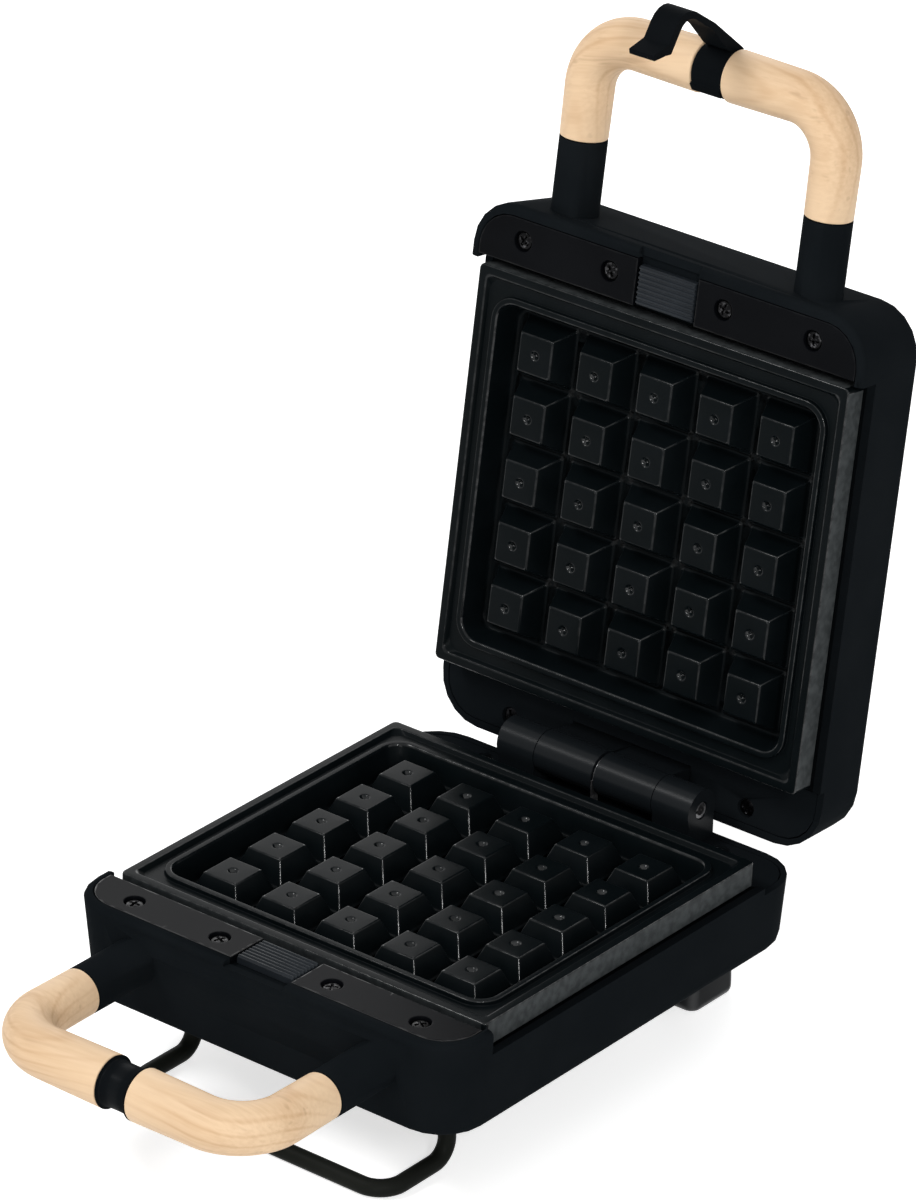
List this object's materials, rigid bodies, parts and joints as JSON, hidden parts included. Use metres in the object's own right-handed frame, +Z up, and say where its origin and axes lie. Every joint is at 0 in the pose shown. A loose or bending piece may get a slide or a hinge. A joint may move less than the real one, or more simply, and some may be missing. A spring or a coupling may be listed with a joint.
{
  "type": "waffle and sandwich maker",
  "caption": "Hinged waffle and sandwich maker with lift-out grid plates, release buttons, wooden U grips, a latch clip, a wire stand and rear feet.",
  "frame": {"origin": "middle of the footprint of the open appliance, on the table", "axes": "+X to the right seen from the handle side, +Y from the base's handle to its hinge, +Z up"},
  "size_m": [0.1426, 0.2769, 0.2939],
  "materials": {
    "shell": "matt black, heat-proof",
    "strips": "satin black",
    "plates": "cast, black non-stick coating, satin",
    "buttons": "dark grey, matt",
    "dark_steel": "blackened",
    "steel": "plain",
    "beech": "light beech, fine sanded",
    "wire": "black, semi-gloss",
    "sheet_metal": "plain sheet",
    "rubber": "matt",
    "ceramic": "unglazed"
  },
  "bodies": {
    "base": {"base_casing": "shell", "bottom_cover": "shell", "base_front_strip_left": "strips", "base_front_strip_right": "strips", "base_rear_strip": "strips", "base_strip_screw_1": "dark_steel", "base_strip_screw_2": "dark_steel", "base_strip_screw_3": "dark_steel", "base_strip_screw_4": "dark_steel", "base_rear_screw_1": "dark_steel", "base_rear_screw_2": "dark_steel", "cover_screw_1": "steel", "cover_screw_2": "steel", "cover_screw_3": "steel", "cover_screw_4": "steel", "base_heating_element": "steel", "base_heat_tray": "sheet_metal", "base_thermostat": "steel", "thermal_fuse": "steel", "terminal_block": "ceramic", "cord_gland": "rubber", "wire_stand": "wire", "rear_foot_left": "rubber", "rear_foot_right": "rubber", "base_grip_left": "beech", "base_grip_right": "beech", "handle_ring": "shell", "base_grip_dowel": "steel", "hinge_pin": "dark_steel", "hinge_washer": "dark_steel", "base_release_spring": "steel"},
    "base_plate": {"base_waffle_plate": "plates"},
    "base_button": {"base_release_button": "buttons"},
    "lid": {"lid_casing": "shell", "lid_front_strip_left": "strips", "lid_front_strip_right": "strips", "lid_rear_strip": "strips", "lid_strip_screw_1": "dark_steel", "lid_strip_screw_2": "dark_steel", "lid_strip_screw_3": "dark_steel", "lid_strip_screw_4": "dark_steel", "lid_rear_screw_1": "dark_steel", "lid_rear_screw_2": "dark_steel", "lid_heating_element": "steel", "lid_heat_tray": "sheet_metal", "lid_thermostat": "steel", "lid_grip_left": "beech", "lid_grip_right": "beech", "lid_grip_dowel": "steel", "lid_release_spring": "steel"},
    "lid_plate": {"lid_waffle_plate": "plates"},
    "lid_button": {"lid_release_button": "buttons"},
    "latch": {"latch_clip": "shell"}
  },
  "joints": [
    {"name": "lid_hinge", "type": "hinge", "parent": "base", "child": "lid", "pos_m": [0, 0.08413, 0.05695], "axis": [-1, 0, 0], "range_deg": [-98.09, 0]},
    {"name": "latch_swing", "type": "hinge", "parent": "lid", "child": "latch", "pos_m": [0.001, 0.12814, 0.26745], "axis": [-1, 0, 0], "range_deg": [-26, 64]},
    {"name": "base_button_press", "type": "slide", "parent": "base", "child": "base_button", "axis": [0, -1, 0], "range_m": [0, 0.0024], "stiffness_N_per_m": 1500, "springref_m": -0.001, "deforming": ["base_release_spring"]},
    {"name": "lid_button_press", "type": "slide", "parent": "lid", "child": "lid_button", "axis": [0, 0.1407, 0.99], "range_m": [0, 0.0024], "stiffness_N_per_m": 1500, "springref_m": -0.001, "deforming": ["lid_release_spring"]},
    {"name": "base_plate_lift", "type": "slide", "parent": "base", "child": "base_plate", "axis": [0, 0, 1], "range_m": [0, 0.03]},
    {"name": "lid_plate_lift", "type": "slide", "parent": "lid", "child": "lid_plate", "axis": [0, -0.99, 0.1407], "range_m": [0, 0.016]}
  ]
}
